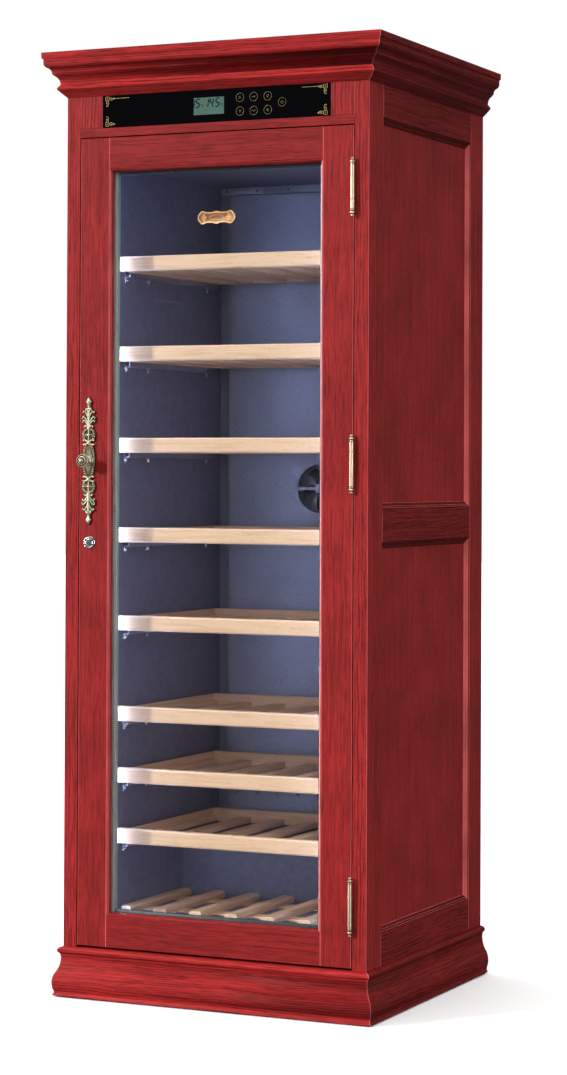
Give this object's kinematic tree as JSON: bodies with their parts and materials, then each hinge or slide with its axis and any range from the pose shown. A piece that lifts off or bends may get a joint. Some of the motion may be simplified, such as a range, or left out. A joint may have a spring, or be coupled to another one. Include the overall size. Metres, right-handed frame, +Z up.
{
  "type": "wine cabinet",
  "caption": "Tall red-stained wooden wine cabinet with a glazed hinged door, pull-out beech racks, a control fascia and a moulded cornice and plinth.",
  "frame": {"origin": "middle of the whole cabinet on the ground", "axes": "+X to the right seen from the front, +Y to the back, +Z up"},
  "size_m": [0.781, 0.692, 2],
  "materials": {
    "stained_wood": "deep red stain over open-grained timber, satin lacquer",
    "beech": "pale beech, clear satin lacquer",
    "board": "plain board, unfinished",
    "back_sheet": "dark grey powder coat",
    "liner_paint": "dark blue-grey satin paint",
    "stucco_metal": "embossed sheet, dark",
    "foam": "rigid foam",
    "light_diffuser": "opal strip light, lit",
    "slide_steel": "zinc plated steel",
    "copper": "copper tube",
    "mill_sheet": "mill finish sheet with a pressed channel",
    "black_steel": "black stove enamel",
    "black_plastic": "moulded, fine texture",
    "filter_plastic": "moulded, matt white",
    "black_glass": "black glass fascia, polished",
    "lcd": "back-lit liquid crystal display, grey-green",
    "glass": "clear float glass",
    "spacer_metal": "mill finish, perforated on the cavity side",
    "gasket_rubber": "soft magnetic gasket",
    "bright_brass": "polished and lacquered",
    "antique_brass": "antiqued, dark in the hollows",
    "chrome": "polished",
    "plaque_brass": "satin gold colour",
    "foot_plastic": "moulded nylon"
  },
  "bodies": {
    "cabinet": {"plinth": "stained_wood", "base_board": "board", "levelling_feet": "foot_plastic", "face_frame": "stained_wood", "side_frames": "stained_wood", "side_panels": "stained_wood", "panel_mouldings": "stained_wood", "cornice": "stained_wood", "top_board": "stained_wood", "back_panel": "back_sheet", "liner_walls": "liner_paint", "liner_back": "stucco_metal", "insulation": "foam", "light_strips": "light_diffuser", "duct_cover": "stucco_metal", "evaporator_plate": "mill_sheet", "charcoal_filter": "filter_plastic", "compressor": "black_steel", "condenser": "black_steel", "condenser_fan_frame": "black_plastic", "refrigerant_pipe": "copper", "rear_grille": "back_sheet", "power_inlet": "black_plastic", "slide_rails": "slide_steel", "bottle_cradle": "beech", "hinge_frame_leaves": "bright_brass", "control_fascia": "black_glass", "display": "lcd", "control_box": "black_plastic"},
    "door": {"door_frame": "stained_wood", "glazing_beads": "stained_wood", "outer_glass": "glass", "inner_glass": "glass", "glass_spacer": "spacer_metal", "door_gasket": "gasket_rubber", "hinge_door_leaves": "bright_brass", "handle_plate": "antique_brass", "handle_knob": "antique_brass", "lock_body": "chrome", "plaque": "plaque_brass"},
    "lock": {"lock_plug": "chrome"},
    "cooling_fan": {"circulation_fan": "black_plastic"},
    "rear_fan": {"condenser_fan": "black_plastic"},
    "shelf_1": {"rack_1": "beech", "runner_1": "slide_steel"},
    "shelf_2": {"rack_2": "beech", "runner_2": "slide_steel"},
    "shelf_3": {"rack_3": "beech", "runner_3": "slide_steel"},
    "shelf_4": {"rack_4": "beech", "runner_4": "slide_steel"},
    "shelf_5": {"rack_5": "beech", "runner_5": "slide_steel"},
    "shelf_6": {"rack_6": "beech", "runner_6": "slide_steel"},
    "shelf_7": {"rack_7": "beech", "runner_7": "slide_steel"},
    "shelf_8": {"rack_8": "beech", "runner_8": "slide_steel"}
  },
  "joints": [
    {"name": "door_hinge", "type": "hinge", "parent": "cabinet", "child": "door", "pos_m": [0.316, -0.312, 0.96], "axis": [0, 0, 1], "range_deg": [0, 170]},
    {"name": "lock_turn", "type": "hinge", "parent": "door", "child": "lock", "pos_m": [-0.29, -0.304, 0.9616], "axis": [0, 1, 0], "range_deg": [0, 90]},
    {"name": "cooling_fan_spin", "type": "hinge", "parent": "cabinet", "child": "cooling_fan", "pos_m": [0, 0.25, 1.075], "axis": [0, 1, 0], "continuous": true},
    {"name": "rear_fan_spin", "type": "hinge", "parent": "cabinet", "child": "rear_fan", "pos_m": [0.13, 0.225, 0.166], "axis": [1, 0, 0], "continuous": true},
    {"name": "shelf_1_slide", "type": "slide", "parent": "cabinet", "child": "shelf_1", "axis": [0, -1, 0], "range_m": [0, 0.2226]},
    {"name": "shelf_2_slide", "type": "slide", "parent": "cabinet", "child": "shelf_2", "axis": [0, -1, 0], "range_m": [0, 0.2226]},
    {"name": "shelf_3_slide", "type": "slide", "parent": "cabinet", "child": "shelf_3", "axis": [0, -1, 0], "range_m": [0, 0.2226]},
    {"name": "shelf_4_slide", "type": "slide", "parent": "cabinet", "child": "shelf_4", "axis": [0, -1, 0], "range_m": [0, 0.2226]},
    {"name": "shelf_5_slide", "type": "slide", "parent": "cabinet", "child": "shelf_5", "axis": [0, -1, 0], "range_m": [0, 0.2226]},
    {"name": "shelf_6_slide", "type": "slide", "parent": "cabinet", "child": "shelf_6", "axis": [0, -1, 0], "range_m": [0, 0.2226]},
    {"name": "shelf_7_slide", "type": "slide", "parent": "cabinet", "child": "shelf_7", "axis": [0, -1, 0], "range_m": [0, 0.2226]},
    {"name": "shelf_8_slide", "type": "slide", "parent": "cabinet", "child": "shelf_8", "axis": [0, -1, 0], "range_m": [0, 0.2226]}
  ],
  "couplings": [
    {"joint": "shelf_1_slide", "follows": "door_hinge", "m_per_rad": 0.075},
    {"joint": "shelf_2_slide", "follows": "door_hinge", "m_per_rad": 0.075},
    {"joint": "shelf_3_slide", "follows": "door_hinge", "m_per_rad": 0.075},
    {"joint": "shelf_4_slide", "follows": "door_hinge", "m_per_rad": 0.075},
    {"joint": "shelf_5_slide", "follows": "door_hinge", "m_per_rad": 0.075},
    {"joint": "shelf_6_slide", "follows": "door_hinge", "m_per_rad": 0.075},
    {"joint": "shelf_7_slide", "follows": "door_hinge", "m_per_rad": 0.075},
    {"joint": "shelf_8_slide", "follows": "door_hinge", "m_per_rad": 0.075}
  ]
}
